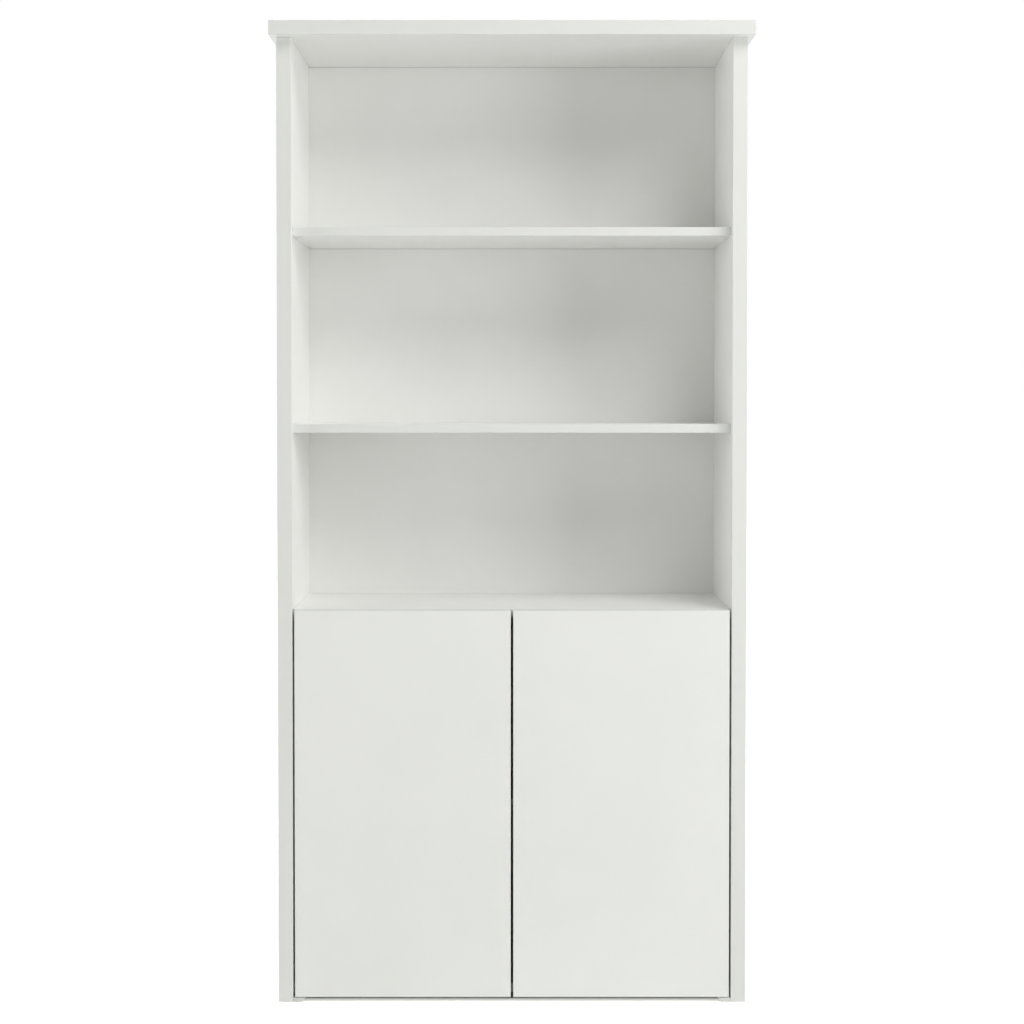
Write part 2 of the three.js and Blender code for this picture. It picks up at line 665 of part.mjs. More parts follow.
function latchPlunger() {
  const axis = [0, -LATCH_AXIS_DROP];
  const shoulder = PLUNGER_FRONT + PLUNGER_TIP_LENGTH;
  const tip = barSolid(1, PLUNGER_FRONT, shoulder + OVERRUN, axis, PLUNGER_TIP_DIAMETER);
  const rod = barSolid(1, shoulder, PLUNGER_FRONT + PLUNGER_LENGTH, axis, PLUNGER_DIAMETER, CAM_SIDES);
  return tip.add(rod);
}

function latchStrike() {
  const axis = [0, -LATCH_AXIS_DROP];
  return barSolid(1, STRIKE_FRONT, STRIKE_FRONT + STRIKE_THICKNESS, axis, STRIKE_DIAMETER, CAM_SIDES);
}

const FRONT_FOOT_SPAN = [FRONT + FOOT_TOE_SETBACK, SHELF_FRONT + FOOT_DEPTH];
const REAR_FOOT_SPAN = [SHELF_REAR - FOOT_DEPTH, SHELF_REAR];

// A foot block with a hollowed inner edge, wider at the top than on the floor, and low under the door
function cornerFoot(side, front, rear) {
  const top = BOTTOM_CLEARANCE - SEAT_GAP;
  const outer = side * (INNER_HALF - SEAT_GAP);
  const floor = side * (INNER_HALF - FOOT_FLOOR_WIDTH);
  const head = side * (INNER_HALF - FOOT_TOP_WIDTH);
  const hollow = half(floor + head) + side * FOOT_HOLLOW;
  const shape = new THREE.Shape();
  shape.moveTo(outer, 0);
  shape.lineTo(floor, 0);
  shape.quadraticCurveTo(hollow, half(top), head, top);
  shape.lineTo(outer, top);
  shape.closePath();
  const geometry = extruded(shape, rear - front);
  geometry.rotateX(Math.PI / 2);
  geometry.translate(0, rear, 0);
  const toeTop = DOOR_FLOOR_GAP - FOOT_TOE_CLEARANCE;
  const doorSweep = boxSolid([-INNER_HALF, FRONT, toeTop], [INNER_HALF, SHELF_FRONT, BOTTOM_CLEARANCE]);
  return solidOf(geometry).subtract(doorSweep);
}

// The assembled bookcase

const bookcase = new THREE.Group();

function addPiece(name, solid, finish, place = [0, 0, 0], turn = 0) {
  const mesh = new THREE.Mesh(geometryOf(solid), new THREE.MeshStandardMaterial(FINISHES[finish]));
  mesh.name = name;
  mesh.position.set(...place);
  mesh.rotation.y = turn;
  bookcase.add(mesh);
}

addPiece('top_panel', topPanel(), 'board');
addPiece('upper_shelf', pinnedShelf(PINNED_SHELVES.upper), 'board');
addPiece('middle_shelf', pinnedShelf(PINNED_SHELVES.middle), 'board');
addPiece('cabinet_inner_shelf', pinnedShelf(PINNED_SHELVES.inner), 'board');
addPiece('cabinet_top_panel', cammedBoard('cabinet_top', CABINET_TOP), 'board');
addPiece('cabinet_bottom_panel', cammedBoard('cabinet_bottom', BOTTOM_TOP), 'board');
addPiece('back_panel', backPanel(), 'back');

const doorMiddle = DOOR_FLOOR_GAP + half(DOOR_HEIGHT);

for (const [sideName, side] of Object.entries(SIDES)) {
  const turn = side < 0 ? 0 : Math.PI;
  const sideFace = side * INNER_HALF;
  addPiece(`${sideName}_side_panel`, sidePanel(side), 'board');
  addPiece(`${sideName}_door`, door(), 'board', [sideFace, FRONT, doorMiddle], turn);

  for (const [levelName, height] of Object.entries(HINGE_HEIGHTS)) {
    const place = [sideFace, FRONT, doorMiddle + height];
    addPiece(`${sideName}_${levelName}_hinge_cup`, hingeCup(), 'steel', place, turn);
    addPiece(`${sideName}_${levelName}_hinge_arm`, hingeArm(), 'steel', place, turn);
    addPiece(`${sideName}_${levelName}_hinge_plate`, hingePlate(), 'zinc', place, turn);
  }

  const latchPlace = [side * LATCH_FROM_MIDDLE, FRONT, CABINET_UNDERSIDE];
  addPiece(`${sideName}_latch_housing`, latchHousing(), 'plastic', latchPlace);
  addPiece(`${sideName}_latch_plunger`, latchPlunger(), 'plastic', latchPlace);
  addPiece(`${sideName}_latch_strike`, latchStrike(), 'steel', latchPlace);

  addPiece(`${sideName}_front_foot`, cornerFoot(side, ...FRONT_FOOT_SPAN), 'plastic');
  addPiece(`${sideName}_rear_foot`, cornerFoot(side, ...REAR_FOOT_SPAN), 'plastic');

  for (const [shelfName, shelf] of Object.entries(PINNED_SHELVES)) {
    for (const [rowName, y] of Object.entries(pinPlaces(shelf.front))) {
      const place = [sideFace, y, pinHeight(shelf)];
      addPiece(`${shelfName}_shelf_${sideName}_${rowName}_pin`, shelfPin(side), 'zinc', place);
    }
  }
}

for (const { name, matrix } of CAM_PLACES) {
  const geometry = geometryOf(camFitting()).applyMatrix4(matrix);
  addPiece(name, solidOf(geometry), 'zinc');
}

export default bookcase;
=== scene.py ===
import json
import math

import bmesh
import bpy
from mathutils import Color, Matrix, Vector


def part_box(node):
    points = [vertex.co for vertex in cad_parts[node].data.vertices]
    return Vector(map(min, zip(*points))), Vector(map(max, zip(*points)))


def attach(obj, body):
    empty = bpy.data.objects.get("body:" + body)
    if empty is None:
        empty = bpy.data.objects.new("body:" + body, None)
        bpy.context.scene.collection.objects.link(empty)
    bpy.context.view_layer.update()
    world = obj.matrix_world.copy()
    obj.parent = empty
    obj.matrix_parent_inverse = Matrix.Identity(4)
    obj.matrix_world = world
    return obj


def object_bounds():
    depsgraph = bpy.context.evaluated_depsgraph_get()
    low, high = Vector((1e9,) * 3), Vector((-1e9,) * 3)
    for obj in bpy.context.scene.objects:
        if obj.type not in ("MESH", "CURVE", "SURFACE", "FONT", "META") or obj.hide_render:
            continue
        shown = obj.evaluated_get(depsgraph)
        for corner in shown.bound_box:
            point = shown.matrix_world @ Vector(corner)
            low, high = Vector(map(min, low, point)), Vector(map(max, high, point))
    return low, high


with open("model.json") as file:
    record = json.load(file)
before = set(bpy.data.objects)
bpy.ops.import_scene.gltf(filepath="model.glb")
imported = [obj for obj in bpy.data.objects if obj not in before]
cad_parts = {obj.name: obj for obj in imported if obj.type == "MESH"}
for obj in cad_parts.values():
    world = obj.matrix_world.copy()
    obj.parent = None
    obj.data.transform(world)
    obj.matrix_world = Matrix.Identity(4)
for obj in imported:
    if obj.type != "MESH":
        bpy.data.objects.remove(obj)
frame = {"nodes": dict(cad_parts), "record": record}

CAD_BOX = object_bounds()
NODES = frame["nodes"]
SIDES = {"left": -1, "right": 1}
LEVELS = ("upper", "lower")
ROWS = ("front", "rear")
MM = 0.001

# The camera, fitted to the photograph but with a smaller lens shift than fits it best
IMAGE_SIZE = 1024
SENSOR = 36.0
FOCAL_PIXELS = 1756.9
CENTRE_PIXEL = (508.65, 439.34)
CAMERA_PLACE = (-0.0061, -3.3603, 1.107)
CAMERA_PITCH = -1.2

# Colours in sRGB
WHITE_FACE = (0.954, 0.956, 0.943)
WHITE_SHADE = (0.944, 0.947, 0.933)
# The doors' whites: the boards' whites a touch darker, painted shade on the door fronts
DOOR_FACE = (0.928, 0.933, 0.914)
DOOR_SHADE = (0.919, 0.925, 0.904)
EDGE_STRIP = (0.888, 0.893, 0.873)
SEAM = (0.74, 0.735, 0.71)
CORE_LIGHT = (0.76, 0.64, 0.48)
CORE_DARK = (0.46, 0.34, 0.22)
BACK_FACE = (0.961, 0.959, 0.951)
BACK_SHADE = (0.948, 0.946, 0.937)
HARDBOARD = (0.5, 0.37, 0.25)
NICKEL = (0.78, 0.775, 0.76)
ZINC = (0.66, 0.67, 0.68)
ZINC_DULL = (0.52, 0.53, 0.54)
PLASTIC = (0.91, 0.91, 0.895)
PLASTIC_SHADE = (0.885, 0.885, 0.868)
SCREW_STEEL = (0.7, 0.7, 0.69)
# The feet's plastic: greyer than the fittings' white, painted shade at the floor
FOOT_FACE = (0.855, 0.857, 0.84)
FOOT_SHADE = (0.835, 0.837, 0.82)
FLOOR = (0.975, 0.975, 0.975)
# Painted shadow: the paper's colour under the bookcase, and the glow's yellowish tint near it
FLOOR_PAINTED_SHADOW = (0.5, 0.5, 0.49)
GLOW_SHADOW_TINT = (0.995, 1.0, 0.97)
WHITE = (1.0, 1.0, 1.0)


def linear(colour):
    """An sRGB colour as linear red, green, blue and alpha."""
    return (*Color(colour).from_srgb_to_scene_linear(), 1.0)


# The part of a noise's values that is stretched over a blend
NARROW = (0.35, 0.65)
WIDE = (0.3, 0.7)


class Shader:
    """A node material that is built up by short calls, with its patterns in object space."""

    def __init__(self, name):
        self.material = bpy.data.materials.new(name)
        self.material.use_nodes = True
        self.nodes = self.material.node_tree.nodes
        self.links = self.material.node_tree.links
        self.surface = self.nodes["Principled BSDF"]
        self.place = self.nodes.new("ShaderNodeTexCoord").outputs["Object"]

    def join(self, value, socket):
        """Links an output to the socket, or sets a plain value on it."""
        if isinstance(value, bpy.types.NodeSocket):
            self.links.new(value, socket)
        else:
            socket.default_value = value

    def math(self, operation, *values):
        node = self.nodes.new("ShaderNodeMath")
        node.operation = operation
        for value, socket in zip(values, node.inputs):
            self.join(value, socket)
        return node.outputs[0]

    def axes(self):
        """The point's x, y and z as separate outputs."""
        node = self.nodes.new("ShaderNodeSeparateXYZ")
        self.links.new(self.place, node.inputs[0])
        return node.outputs

    def smallest(self, values):
        least = values[0]
        for value in values[1:]:
            least = self.math("MINIMUM", least, value)
        return least

    def noise(self, scale, detail=2.0, roughness=0.5, place=None):
        node = self.nodes.new("ShaderNodeTexNoise")
        node.inputs["Scale"].default_value = scale
        node.inputs["Detail"].default_value = detail
        node.inputs["Roughness"].default_value = roughness
        self.links.new(place or self.place, node.inputs["Vector"])
        return node.outputs["Fac"]

    def cells(self, scale):
        """The distance from the middle of the nearest of many irregular cells."""
        node = self.nodes.new("ShaderNodeTexVoronoi")
        node.inputs["Scale"].default_value = scale
        self.links.new(self.place, node.inputs["Vector"])
        return node.outputs["Distance"]

    def stretched(self, scale):
        """The place scaled by itself along each axis, for marks that run one way."""
        node = self.nodes.new("ShaderNodeMapping")
        node.inputs["Scale"].default_value = scale
        self.links.new(self.place, node.inputs["Vector"])
        return node.outputs["Vector"]

    def span(self, value, low, high, new_low=0.0, new_high=1.0):
        """The value's range from low to high as the range from new_low to new_high."""
        node = self.nodes.new("ShaderNodeMapRange")
        names = ("From Min", "From Max", "To Min", "To Max")
        for name, number in zip(names, (low, high, new_low, new_high)):
            node.inputs[name].default_value = number
        self.links.new(value, node.inputs["Value"])
        return node.outputs["Result"]

    def blend(self, share, first, second):
        node = self.nodes.new("ShaderNodeMix")
        node.data_type = "RGBA"
        self.join(share, node.inputs["Factor"])
        self.join(first, node.inputs["A"])
        self.join(second, node.inputs["B"])
        return node.outputs["Result"]

    def bump(self, height, distance, normal=None):
        node = self.nodes.new("ShaderNodeBump")
        node.inputs["Strength"].default_value = 1.0
        node.inputs["Distance"].default_value = distance
        self.links.new(height, node.inputs["Height"])
        if normal is not None:
            self.links.new(normal, node.inputs["Normal"])
        return node.outputs["Normal"]

    def finish(self, colour, roughness, normal=None, metallic=0.0):
        """Sets the surface and returns the material."""
        self.join(colour, self.surface.inputs["Base Color"])
        self.join(roughness, self.surface.inputs["Roughness"])
        self.surface.inputs["Metallic"].default_value = metallic
        if normal is not None:
            self.links.new(normal, self.surface.inputs["Normal"])
        return self.material


# Boards: a white satin face on a chipboard core that shows inside holes and grooves

SKIN_THICKNESS = 0.35 * MM
STRIP_THICKNESS = 1.0 * MM
SEAM_HALF_WIDTH = 0.06 * MM
PEARL_SCALE = 900.0
PEARL_DEPTH = 0.012 * MM
SWELL_SCALE = 26.0
SWELL_DEPTH = 0.10 * MM
MOTTLE_SCALE = 5.0
CHIP_SCALE = 420.0
CHIP_RELIEF = 1.0 * MM
BOARD_ROUGHNESS = (0.36, 0.44)
CORE_ROUGHNESS = 0.85
BACK_ROUGHNESS = (0.5, 0.62)


def face_distances(shader, low, high):
    """The distance of each point from the board's six faces, by face name."""
    names = (("left", "right"), ("front", "rear"), ("bottom", "top"))
    distances = {}
    for place, start, end, (low_name, high_name) in zip(shader.axes(), low, high, names):
        distances[low_name] = shader.math("SUBTRACT", place, start)
        distances[high_name] = shader.math("SUBTRACT", end, place)
    return distances


def board_material(node, banded, raw=(), shade=WHITE_SHADE, light=WHITE_FACE):
    """banded faces carry an edge strip, raw ones show the core, and the others the white face."""
    shader = Shader(f"{node}_finish")
    distances = face_distances(shader, *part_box(node))
    covered = [distance for name, distance in distances.items() if name not in raw]
    depth = shader.smallest(covered)
    core = shader.math("GREATER_THAN", depth, SKIN_THICKNESS)
    strip_depth = shader.smallest([distances[name] for name in banded])
    strip = shader.math("LESS_THAN", strip_depth, STRIP_THICKNESS)
    from_seam = shader.math("ABSOLUTE", shader.math("SUBTRACT", strip_depth, STRIP_THICKNESS))
    seam = shader.math("LESS_THAN", from_seam, SEAM_HALF_WIDTH)

    mottle = shader.noise(MOTTLE_SCALE, detail=3.0)
    face = shader.blend(shader.span(mottle, *NARROW), linear(shade), linear(light))
    face = shader.blend(strip, face, linear(EDGE_STRIP))
    face = shader.blend(seam, face, linear(SEAM))
    chip_edge = shader.cells(CHIP_SCALE)
    chip_tone = shader.span(shader.noise(CHIP_SCALE, detail=4.0), *NARROW)
    chip = shader.blend(chip_tone, linear(CORE_DARK), linear(CORE_LIGHT))
    colour = shader.blend(core, face, chip)

    pearl = shader.noise(PEARL_SCALE, detail=3.0, roughness=0.6)
    swell = shader.noise(SWELL_SCALE, detail=1.0)
    sheen = shader.span(shader.noise(SWELL_SCALE, detail=4.0), *WIDE, *BOARD_ROUGHNESS)
    roughness = shader.math("MAXIMUM", sheen, shader.math("MULTIPLY", core, CORE_ROUGHNESS))
    normal = shader.bump(swell, SWELL_DEPTH)
    normal = shader.bump(pearl, PEARL_DEPTH, normal)
    normal = shader.bump(shader.math("MULTIPLY", chip_edge, core), CHIP_RELIEF, normal)
    return shader.finish(colour, roughness, normal)


# For each board its banded faces, its raw faces and, where they differ, its two shades of white; the
# doors' darker whites are painted shade
BOARD_FINISHES = {
    "top_panel": (("front", "left", "right", "rear"), ()),
    "left_side_panel": (("front", "rear"), ("bottom", "top")),
    "right_side_panel": (("front", "rear"), ("bottom", "top")),
    "upper_shelf": (("front",), ("left", "right", "rear")),
    "middle_shelf": (("front",), ("left", "right", "rear")),
    "cabinet_inner_shelf": (("front",), ("left", "right", "rear")),
    "cabinet_top_panel": (("front",), ("left", "right", "rear")),
    "cabinet_bottom_panel": (("front",), ("left", "right", "rear")),
    "left_door": (("left", "right", "top", "bottom"), (), DOOR_SHADE, DOOR_FACE),
    "right_door": (("left", "right", "top", "bottom"), (), DOOR_SHADE, DOOR_FACE),
}


# Painted shadow: a dark line on the back panel under each board's underside
UNDERSIDE_SHADOW_PAINT = (0.84, 0.84, 0.825)
UNDERSIDE_SHADOW_REACH = 2.5 * MM
BOARDS_BEFORE_BACK = (
    "top_panel",
    "upper_shelf",
    "middle_shelf",
    "cabinet_top_panel",
    "cabinet_inner_shelf",
    "cabinet_bottom_panel",
)


def underside_shadow_share(shader):
    """1 at the height of each board's underside, where a painted shadow line shows, and 0 a little way
    off.
    """
    height = shader.axes()["Z"]
    gaps = []
    for board in BOARDS_BEFORE_BACK:
        above = shader.math("SUBTRACT", height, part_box(board)[0].z)
        gaps.append(shader.math("ABSOLUTE", above))
    return shader.span(shader.smallest(gaps), 0.0, UNDERSIDE_SHADOW_REACH, 1.0, 0.0)


def back_material():
    """Thin hardboard with a matt white front and a bare brown fibrous rear."""
    shader = Shader("back_panel_finish")
    behind_front = shader.math("SUBTRACT", shader.axes()["Y"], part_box("back_panel")[0].y)
    bare = shader.math("GREATER_THAN", behind_front, SKIN_THICKNESS)
    mottle = shader.span(shader.noise(MOTTLE_SCALE, detail=4.0), *NARROW)
    painted = shader.blend(mottle, linear(BACK_SHADE), linear(BACK_FACE))
    # Painted shadow lines under the boards' undersides
    painted = shader.blend(underside_shadow_share(shader), painted, linear(UNDERSIDE_SHADOW_PAINT))
    fibre = shader.span(shader.noise(CHIP_SCALE, detail=5.0), *WIDE)
    brown = shader.blend(fibre, linear(HARDBOARD), linear(CORE_DARK))
    colour = shader.blend(bare, painted, brown)
    swell = shader.noise(SWELL_SCALE, detail=1.0)
    pearl = shader.noise(PEARL_SCALE, detail=2.0)
    normal = shader.bump(swell, SWELL_DEPTH)
    normal = shader.bump(pearl, PEARL_DEPTH, normal)
    roughness = shader.span(shader.noise(SWELL_SCALE, detail=3.0), *WIDE, *BACK_ROUGHNESS)
    return shader.finish(colour, roughness, normal)


# Metal and plastic

ROLLING_SCALES = (900.0, 120.0, 3500.0)
ROLLING_DEPTH = 0.01 * MM
NICKEL_HAZE_SCALE = 240.0
NICKEL_ROUGHNESS = (0.2, 0.34)
CASTING_SCALE = 2600.0
CASTING_DEPTH = 0.02 * MM
ZINC_HAZE_SCALE = 300.0
ZINC_ROUGHNESS = (0.38, 0.55)
SCREW_HAZE_SCALE = 900.0
SCREW_RELIEF = 0.01 * MM
SCREW_ROUGHNESS = (0.25, 0.42)
PLASTIC_GRAIN_SCALE = 1800.0
PLASTIC_MOTTLE_SCALE = 40.0
PLASTIC_ROUGHNESS = (0.42, 0.52)
FITTING_GRAIN = 0.012 * MM
CAP_GRAIN = 0.002 * MM


def nickel_material():
    """Nickel-plated pressed steel with fine rolling marks."""
    shader = Shader("nickel_plate")
    marks = shader.noise(1.0, detail=3.0, place=shader.stretched(ROLLING_SCALES))
    haze = shader.noise(NICKEL_HAZE_SCALE, detail=4.0)
    colour = shader.blend(shader.span(haze, *WIDE), linear(NICKEL), linear(SCREW_STEEL))
    roughness = shader.span(marks, *WIDE, *NICKEL_ROUGHNESS)
    return shader.finish(colour, roughness, shader.bump(marks, ROLLING_DEPTH), metallic=1.0)


def zinc_material():
    """Dull zinc casting with a grainy skin."""
    shader = Shader("cast_zinc")
    grain = shader.noise(CASTING_SCALE, detail=3.0)
    haze = shader.noise(ZINC_HAZE_SCALE, detail=4.0)
    colour = shader.blend(shader.span(haze, *WIDE), linear(ZINC_DULL), linear(ZINC))
    roughness = shader.span(haze, *WIDE, *ZINC_ROUGHNESS)
    return shader.finish(colour, roughness, shader.bump(grain, CASTING_DEPTH), metallic=1.0)


def screw_material():
    """Bright zinc-plated screws with fine unevenness."""
    shader = Shader("screw_steel")
    haze = shader.noise(SCREW_HAZE_SCALE, detail=4.0)
    colour = shader.blend(shader.span(haze, *WIDE), linear(ZINC), linear(SCREW_STEEL))
    roughness = shader.span(haze, *WIDE, *SCREW_ROUGHNESS)
    return shader.finish(colour, roughness, shader.bump(haze, SCREW_RELIEF), metallic=1.0)


def plastic_material(name, shade, light, grain_depth):
    """Moulded plastic with a fine grain."""
    shader = Shader(name)
    grain = shader.noise(PLASTIC_GRAIN_SCALE, detail=3.0)
    mottle = shader.noise(PLASTIC_MOTTLE_SCALE)
    colour = shader.blend(shader.span(mottle, *WIDE), linear(shade), linear(light))
    roughness = shader.span(grain, *WIDE, *PLASTIC_ROUGHNESS)
    return shader.finish(colour, roughness, shader.bump(grain, grain_depth))


def paint_nodes():
    """Gives every CAD node its finish."""
    finishes = {node: board_material(node, *faces) for node, faces in BOARD_FINISHES.items()}
    finishes["back_panel"] = back_material()
    for side_name in SIDES:
        for row_name in ROWS:
            finishes[f"{side_name}_{row_name}_foot"] = FOOT_FINISH
    by_slot = {
        "hinge_steel": nickel_material(),
        "zinc_fitting": zinc_material(),
        "white_plastic": PLASTIC_FINISH,
    }
    for row in frame["record"]["subparts"]:
        node = row["node"]
        material = finishes.get(node) or by_slot[row["material_slot"]]
        NODES[node].data.materials.clear()
        NODES[node].data.materials.append(material)


# Widths of the small bevels, by the ending of the node's name
SOFT_EDGES = {
    "_hinge_cup": 0.25 * MM,
    "_hinge_arm": 0.35 * MM,
    "_hinge_plate": 0.35 * MM,
    "_latch_housing": 0.4 * MM,
    "_latch_plunger": 0.3 * MM,
    "_latch_strike": 0.2 * MM,
    "_foot": 0.6 * MM,
}
BEVEL_STEPS = 2
BEVEL_ANGLE = 40.0


def soften_edges():
    """Small bevels on the fittings' sharp edges."""
    for node, piece in NODES.items():
        for ending, width in SOFT_EDGES.items():
            if node.endswith(ending):
                bevel = piece.modifiers.new("soft_edges", "BEVEL")
                bevel.width = width
                bevel.segments = BEVEL_STEPS
                bevel.limit_method = "ANGLE"
                bevel.angle_limit = math.radians(BEVEL_ANGLE)


# Small turned pieces: screws, and the caps that hide the cams under the top

TURN_STEPS = 32
SCREW_RINGS = 8
CROSS_HALF_WIDTH = 0.42 * MM
CROSS_DEPTH = 1.0 * MM
CROSS_REACH_SHARE = 0.62
DOME_FALL_SHARE = 0.55
CAP_RADIUS = 8.5 * MM
CAP_RISE = 0.4 * MM
CAP_EDGE_RISE = 0.15 * MM
CAP_EDGE_WIDTH = 0.7 * MM


def ring(radius, height):
    """One circle of points; height is a number or a function of x and y."""
    points = []
    for step in range(TURN_STEPS):
        turn = 2.0 * math.pi * step / TURN_STEPS
        x, y = radius * math.cos(turn), radius * math.sin(turn)
        points.append((x, y, height(x, y) if callable(height) else height))
    return points


def turned_piece(name, middle_height, rings, place, out, body, material):
    """A closed round piece from its top's middle outwards and down, facing out from place."""
    mesh = bmesh.new()
    middle = mesh.verts.new((0.0, 0.0, middle_height))
    circles = [[mesh.verts.new(point) for point in points] for points in rings]
    for step in range(TURN_STEPS):
        following = (step + 1) % TURN_STEPS
        mesh.faces.new((middle, circles[0][step], circles[0][following]))
        for inner, outer in zip(circles, circles[1:]):
            mesh.faces.new((inner[step], outer[step], outer[following], inner[following]))
    mesh.faces.new(list(reversed(circles[-1])))
    data = bpy.data.meshes.new(name)
    mesh.to_mesh(data)
    mesh.free()
    data.materials.append(material)
    piece = bpy.data.objects.new(name, data)
    bpy.context.scene.collection.objects.link(piece)
    turn = Vector(out).to_track_quat("Z", "Y").to_matrix().to_4x4()
    piece.matrix_world = Matrix.Translation(place) @ turn
    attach(piece, body)
    return piece


def screw(name, place, out, body, radius, rise, shank_radius, shank_length):
    """A domed cross-head screw with a short shank behind its seat."""
    def height(x, y):
        reach = math.hypot(x, y) / radius
        dome = rise * (1.0 - DOME_FALL_SHARE * reach * reach)
        across, along = sorted((abs(x), abs(y)))
        if across < CROSS_HALF_WIDTH and along < CROSS_REACH_SHARE * radius:
            return dome - CROSS_DEPTH * (1.0 - along / radius)
        return dome

    rings = [ring(radius * step / SCREW_RINGS, height) for step in range(1, SCREW_RINGS + 1)]
    rings += [ring(radius, 0.0), ring(shank_radius, 0.0), ring(shank_radius, -shank_length)]
    piece = turned_piece(name, height(0.0, 0.0), rings, place, out, body, SCREW_FINISH)


def cam_caps():
    """White press-on caps over the four cams in the side panels' inner faces."""
    for side_name, side in SIDES.items():
        low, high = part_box(f"{side_name}_side_panel")
        face = low.x if side > 0 else high.x
        for row in ROWS:
            cam_low, cam_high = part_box(f"top_{side_name}_{row}_cam")
            cam_radius = (cam_high.y - cam_low.y) / 2
            middle = (face, cam_low.y + cam_radius, cam_low.z + cam_radius)
            rings = [
                ring(CAP_RADIUS - CAP_EDGE_WIDTH, CAP_RISE),
                ring(CAP_RADIUS, CAP_EDGE_RISE),
                ring(CAP_RADIUS, 0.0),
            ]
            piece = turned_piece(f"top_{side_name}_{row}_cam_cap", CAP_RISE, rings,
                                 middle, (-side, 0, 0), "carcass", CAP_FINISH)


CUP_EAR_REACH = 26 * MM
PLATE_BASE_THICKNESS = 1.6 * MM
PLATE_SCREW_BACK = 37 * MM
PLATE_SCREW_SIDE = 16 * MM
HINGE_SCREW_RADIUS = 3.4 * MM
HINGE_SCREW_RISE = 1.3 * MM
LATCH_FLANGE_THICKNESS = 2.4 * MM
LATCH_SCREW_INSET = 9 * MM
LATCH_SCREW_SPREAD_SHARE = 0.375
LATCH_SCREW_RADIUS = 2.9 * MM
LATCH_SCREW_RISE = 1.1 * MM
SHANK_RADIUS = 1.5 * MM
SHANK_LENGTH = 1.2 * MM


def hinge_screws():
    """Two screws in the ears of each hinge cup and two in the base of each mounting plate."""
    for side_name, side in SIDES.items():
        door_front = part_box(f"{side_name}_door")[0].y
        for level in LEVELS:
            hinge = f"{side_name}_{level}"
            cup_low, cup_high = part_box(f"{hinge}_hinge_cup")
            plate_low, plate_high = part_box(f"{hinge}_hinge_plate")
            cup = (cup_low + cup_high) / 2
            plate = (plate_low + plate_high) / 2
            on_panel = plate_high.x if side > 0 else plate_low.x
            base_top = on_panel - side * PLATE_BASE_THICKNESS
            for word, way in (("upper", 1), ("lower", -1)):
                place = (cup.x, cup_high.y, cup.z + way * CUP_EAR_REACH)
                screw(f"{hinge}_cup_{word}_screw", place, (0, 1, 0), f"{side_name}_door_body",
                      HINGE_SCREW_RADIUS, HINGE_SCREW_RISE, SHANK_RADIUS, SHANK_LENGTH)
                place = (base_top, door_front + PLATE_SCREW_BACK, plate.z + way * PLATE_SCREW_SIDE)
                screw(f"{hinge}_plate_{word}_screw", place, (-side, 0, 0), "carcass",
                      HINGE_SCREW_RADIUS, HINGE_SCREW_RISE, SHANK_RADIUS, SHANK_LENGTH)


def latch_screws():
    """Four screws in the flange of each latch housing."""
    for side_name in SIDES:
        low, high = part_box(f"{side_name}_latch_housing")
        middle = (low.x + high.x) / 2
        reach = (high.x - low.x) * LATCH_SCREW_SPREAD_SHARE
        seat = high.z - LATCH_FLANGE_THICKNESS
        for row, y in (("front", low.y + LATCH_SCREW_INSET), ("rear", high.y - LATCH_SCREW_INSET)):
            for word, way in SIDES.items():
                place = (middle + way * reach, y, seat)
                screw(f"{side_name}_latch_{row}_{word}_screw", place, (0, 0, -1), "carcass",
                      LATCH_SCREW_RADIUS, LATCH_SCREW_RISE, SHANK_RADIUS, SHANK_LENGTH)


# Camera, light and stage

# A camera that isn't turned looks straight down, and this turn brings it level
LEVEL = 90.0
CLIP_END = 100.0


def make_camera():
    """The photograph's view; the shift is measured from the middle of the picture."""
    data = bpy.data.cameras.new("camera")
    data.sensor_width = SENSOR
    data.lens = FOCAL_PIXELS * SENSOR / IMAGE_SIZE
    half = IMAGE_SIZE / 2
    data.shift_x = (half - CENTRE_PIXEL[0]) / IMAGE_SIZE
    data.shift_y = (CENTRE_PIXEL[1] - half) / IMAGE_SIZE
    data.clip_end = CLIP_END
    camera = bpy.data.objects.new("camera", data)
    camera.location = CAMERA_PLACE
    camera.rotation_euler = (math.radians(LEVEL + CAMERA_PITCH), 0.0, 0.0)
    bpy.context.scene.collection.objects.link(camera)
    bpy.context.scene.camera = camera


def area_light(name, place, target, size, power):
    """A rectangular lamp that faces its target."""
    data = bpy.data.lights.new(name, "AREA")
    data.shape = "RECTANGLE"
    data.size, data.size_y = size
    data.energy = power
    lamp = bpy.data.objects.new(name, data)
    lamp.location = place
    lamp.rotation_euler = (Vector(target) - Vector(place)).to_track_quat("-Z", "Y").to_euler()
    lamp.visible_glossy = name not in UNMIRRORED_LAMPS
    bpy.context.scene.collection.objects.link(lamp)


AMBIENT = 0.15
FLOOR_HALF = 12.0

# The floor's glow by distance from the bookcase's outline; below zero is under the bookcase
GLOW_STEPS = (
    (-0.049, 0.0),
    (-0.043, 0.35),
    (-0.036, 0.43),
    (-0.019, 0.43),
    (-0.012, 0.62),
    (0.3, 0.8),
    (1.6, 1.0),
)

# Over these distances the paper's colour and the glow's tint change from under the bookcase to
# outside; the darker paper and the yellowish glow under it are painted shadow
PAPER_STEP = (-0.051, -0.044)
TINT_STEP = (-0.022, -0.012)


def seen_directly(nodes, links):
    """1 where a camera, glossy or transmission ray looks, 0 for light that falls on the object."""
    path = nodes.new("ShaderNodeLightPath")
    total = path.outputs["Is Camera Ray"]
    for name in ("Is Glossy Ray", "Is Transmission Ray"):
        node = nodes.new("ShaderNodeMath")
        node.operation = "MAXIMUM"
        links.new(total, node.inputs[0])
        links.new(path.outputs[name], node.inputs[1])
        total = node.outputs[0]
    return total


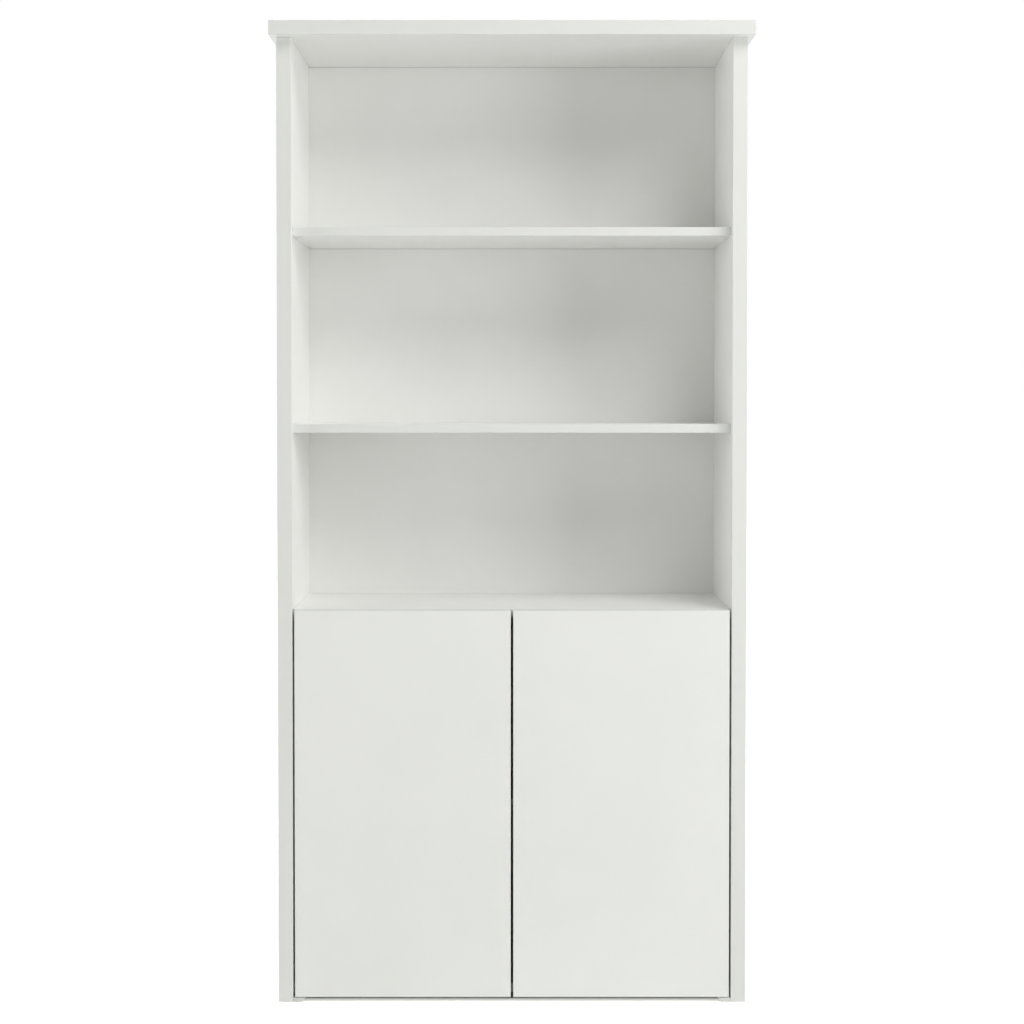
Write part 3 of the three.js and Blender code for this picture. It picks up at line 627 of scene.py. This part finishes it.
def make_world():
    """White all round to the camera and in reflections, and a weak even light on the object."""
    world = bpy.data.worlds.new("studio")
    world.use_nodes = True
    nodes, links = world.node_tree.nodes, world.node_tree.links
    background = nodes["Background"]
    background.inputs["Color"].default_value = linear(WHITE)
    mix = nodes.new("ShaderNodeMapRange")
    mix.inputs["To Min"].default_value = AMBIENT
    mix.inputs["To Max"].default_value = 1.0
    links.new(seen_directly(nodes, links), mix.inputs["Value"])
    links.new(mix.outputs["Result"], background.inputs["Strength"])
    bpy.context.scene.world = world


def floor_material():
    """White paper that glows to the camera, less so close to the bookcase, where its shadow shows;
    under the bookcase a painted shadow darkens the paper and yellows the glow.
    """
    shader = Shader("floor_paper")
    nodes, links = shader.nodes, shader.links
    axes = shader.axes()
    beside = shader.math("SUBTRACT", shader.math("ABSOLUTE", axes["X"]), CAD_BOX[1].x)
    before = shader.math("SUBTRACT", shader.math("ABSOLUTE", axes["Y"]), CAD_BOX[1].y)
    away = shader.math("MAXIMUM", beside, before)
    level = GLOW_STEPS[0][1]
    for (start, low), (end, high) in zip(GLOW_STEPS, GLOW_STEPS[1:]):
        level = shader.math("ADD", level, shader.span(away, start, end, 0.0, high - low))
    glow = nodes.new("ShaderNodeEmission")
    shader.join(shader.math("MULTIPLY", level, seen_directly(nodes, links)), glow.inputs["Strength"])
    tint = shader.blend(shader.span(away, *TINT_STEP), linear(GLOW_SHADOW_TINT), linear(WHITE))
    shader.join(tint, glow.inputs["Color"])
    paper = nodes.new("ShaderNodeBsdfDiffuse")
    colour = shader.blend(shader.span(away, *PAPER_STEP), linear(FLOOR_PAINTED_SHADOW), linear(FLOOR))
    shader.join(colour, paper.inputs["Color"])
    both = nodes.new("ShaderNodeAddShader")
    links.new(paper.outputs[0], both.inputs[0])
    links.new(glow.outputs[0], both.inputs[1])
    links.new(both.outputs[0], nodes["Material Output"].inputs["Surface"])
    nodes.remove(shader.surface)
    return shader.material


def make_floor():
    """A wide sheet of paper under the bookcase, which belongs to the stage and not to the object."""
    data = bpy.data.meshes.new("floor")
    corners = [(-1, -1), (1, -1), (1, 1), (-1, 1)]
    data.from_pydata([(x * FLOOR_HALF, y * FLOOR_HALF, 0.0) for x, y in corners], [], [(0, 1, 2, 3)])
    data.materials.append(floor_material())
    floor = bpy.data.objects.new("floor", data)
    bpy.context.scene.collection.objects.link(floor)


# Name, place, size in metres and power in watts
LAMPS = (
    ("key", (1.8, -3.0, 4.4), (2.5, 2.5), 116.0),
    ("right_front", (2.6, -1.6, 1.4), (1.2, 1.2), 31.5),
    ("left_side", (-3.5, -1.0, 1.6), (1.5, 1.5), 40.0),
    ("left_fill", (-2.6, -3.4, 1.2), (2.0, 2.0), 7.0),
    ("rear_fill", (-1.2, 3.6, 2.4), (2.5, 2.5), 75.0),
)
LAMP_TARGET = (0.0, 0.0, 0.95)

# Behind the bookcase its mirror image would glare on the top
UNMIRRORED_LAMPS = ("rear_fill",)


def make_lights():
    """Soft studio lamps, all aimed at the middle of the bookcase."""
    for name, place, size, power in LAMPS:
        area_light(name, place, LAMP_TARGET, size, power)


SCREW_FINISH = screw_material()
PLASTIC_FINISH = plastic_material("white_plastic", PLASTIC_SHADE, PLASTIC, FITTING_GRAIN)
CAP_FINISH = plastic_material("cap_plastic", WHITE_SHADE, WHITE_FACE, CAP_GRAIN)
FOOT_FINISH = plastic_material("foot_plastic_painted_shade", FOOT_SHADE, FOOT_FACE, FITTING_GRAIN)
paint_nodes()
soften_edges()
cam_caps()
hinge_screws()
latch_screws()
make_camera()
make_world()
make_floor()
make_lights()
bpy.context.scene.view_settings.view_transform = "Standard"
